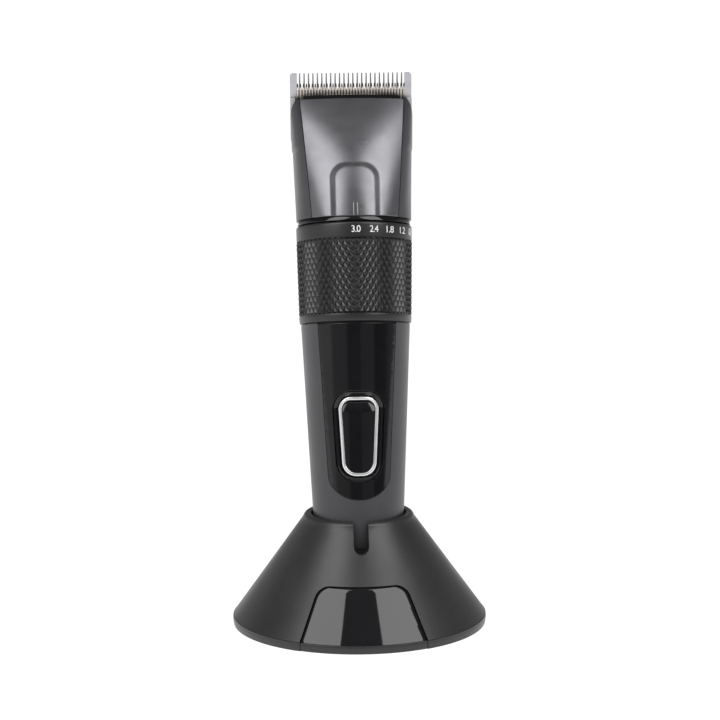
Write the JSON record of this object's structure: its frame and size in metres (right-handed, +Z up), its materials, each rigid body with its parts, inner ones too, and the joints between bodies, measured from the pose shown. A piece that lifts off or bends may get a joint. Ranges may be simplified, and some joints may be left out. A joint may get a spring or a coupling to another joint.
{
  "type": "cordless body groomer",
  "caption": "Cordless hair and body groomer with a knurled length dial and a wide steel blade head, leaning back in a round conical charging stand.",
  "frame": {"origin": "centre of the stand's round foot, on the plane that it stands on", "axes": "+Z up, -Y to the front where the switch and the dial's index are, +X to the right as seen from the front"},
  "size_m": [0.09, 0.0899, 0.192],
  "materials": {
    "stand_matte": "fine moulded texture, satin",
    "stand_gloss": "polished piano black",
    "foot_rubber": "matte",
    "board": "solder mask",
    "contact_metal": "gold plated",
    "dark_plastic": "fine grain",
    "handle_satin": "satin soft-touch lacquer",
    "handle_gloss": "piano black",
    "silver_trim": "satin silver",
    "cell_wrap": "shrink wrap",
    "switch_metal": "plain",
    "screw_steel": "plain",
    "dial_satin": "satin black",
    "grip_rubber": "diamond knurl",
    "acetal": "natural acetal",
    "head_metallic": "anthracite metallic lacquer",
    "head_dark": "anthracite lacquer",
    "liner_black": "black",
    "carrier_grey": "grey nylon",
    "blade_steel": "ground",
    "cutter_steel": "ground, warm tint"
  },
  "bodies": {
    "stand": {"stand_shell": "stand_matte", "stand_window": "stand_gloss", "stand_cup": "stand_matte", "base_plate": "stand_matte", "foot_ring": "foot_rubber", "base_screws": "screw_steel", "stand_board": "board", "pin_barrels": "contact_metal", "power_inlet": "dark_plastic"},
    "pin_left": {"charge_pin_left": "contact_metal"},
    "pin_right": {"charge_pin_right": "contact_metal"},
    "handset": {"front_shell": "handle_satin", "rear_shell": "handle_satin", "gloss_inlay": "handle_gloss", "button_bezel": "handle_gloss", "end_cap": "handle_satin", "contact_pads": "contact_metal", "charge_socket": "dark_plastic", "battery_cell": "cell_wrap", "battery_cradle": "dark_plastic", "circuit_board": "board", "tact_switch": "switch_metal", "motor_can": "switch_metal", "motor_cushion": "foot_rubber", "motor_mount": "dark_plastic", "neck_tube": "dark_plastic", "gloss_collar": "handle_gloss", "lever_pivot": "switch_metal", "neck_seal": "foot_rubber", "head_cover": "head_metallic", "head_frame": "head_dark", "head_liner": "liner_black", "blade_hinge_pin": "switch_metal", "blade_bracket": "switch_metal", "housing_screws": "screw_steel"},
    "button": {"power_button": "handle_gloss", "button_trim": "silver_trim"},
    "rotor": {"motor_shaft": "switch_metal", "eccentric": "switch_metal"},
    "dial": {"dial_ring": "dial_satin", "grip_sleeve": "grip_rubber"},
    "carriage": {"length_carriage": "acetal"},
    "lever": {"drive_lever": "acetal"},
    "blade_unit": {"fixed_blade": "blade_steel", "blade_carrier": "carrier_grey", "blade_screws": "screw_steel"},
    "sled": {"cutter_sled": "liner_black", "pressure_spring": "blade_steel"},
    "cutter": {"cutter_blade": "cutter_steel", "cutter_bridge": "acetal"}
  },
  "joints": [
    {"name": "lift_out", "type": "slide", "parent": "stand", "child": "handset", "axis": [0, 0.2079, 0.9781], "range_m": [0, 0.045]},
    {"name": "pin_left_press", "type": "slide", "parent": "stand", "child": "pin_left", "axis": [0, 0.2079, 0.9781], "range_m": [-0.0012, 0], "stiffness_N_per_m": 150, "springref_m": 0.001},
    {"name": "pin_right_press", "type": "slide", "parent": "stand", "child": "pin_right", "axis": [0, 0.2079, 0.9781], "range_m": [-0.0012, 0], "stiffness_N_per_m": 150, "springref_m": 0.001},
    {"name": "button_press", "type": "slide", "parent": "handset", "child": "button", "axis": [0, 0.9781, -0.2079], "range_m": [0, 0.001], "stiffness_N_per_m": 600, "springref_m": -0.001},
    {"name": "dial_turn", "type": "hinge", "parent": "handset", "child": "dial", "pos_m": [0, 0.01781, 0.12069], "axis": [0, 0.2079, 0.9781], "range_deg": [-72, 0]},
    {"name": "length_shift", "type": "slide", "parent": "handset", "child": "carriage", "axis": [0, 0.2079, 0.9781], "range_m": [0, 0.00221]},
    {"name": "blade_release", "type": "hinge", "parent": "handset", "child": "blade_unit", "pos_m": [0, 0.04073, 0.16934], "axis": [1, 0, 0], "range_deg": [-30, 0]},
    {"name": "cutter_advance", "type": "slide", "parent": "blade_unit", "child": "sled", "axis": [0, -0.0523, 0.9986], "range_m": [0, 0.00221]},
    {"name": "cutter_stroke", "type": "slide", "parent": "sled", "child": "cutter", "axis": [1, 0, 0], "range_m": [-0.0012, 0.0012]},
    {"name": "lever_swing", "type": "hinge", "parent": "handset", "child": "lever", "pos_m": [0, 0.02446, 0.15199], "axis": [0, 0.9781, -0.2079], "range_deg": [-2.25, 2.25]},
    {"name": "motor_spin", "type": "hinge", "parent": "handset", "child": "rotor", "pos_m": [0, 0.01781, 0.12069], "axis": [0, 0.2079, 0.9781], "continuous": true}
  ],
  "couplings": [
    {"joint": "length_shift", "follows": "dial_turn", "m_per_rad": -0.0017507},
    {"joint": "cutter_advance", "follows": "dial_turn", "m_per_rad": -0.0017507},
    {"joint": "lever_swing", "follows": "cutter_stroke", "rad_per_m": 31.935}
  ]
}
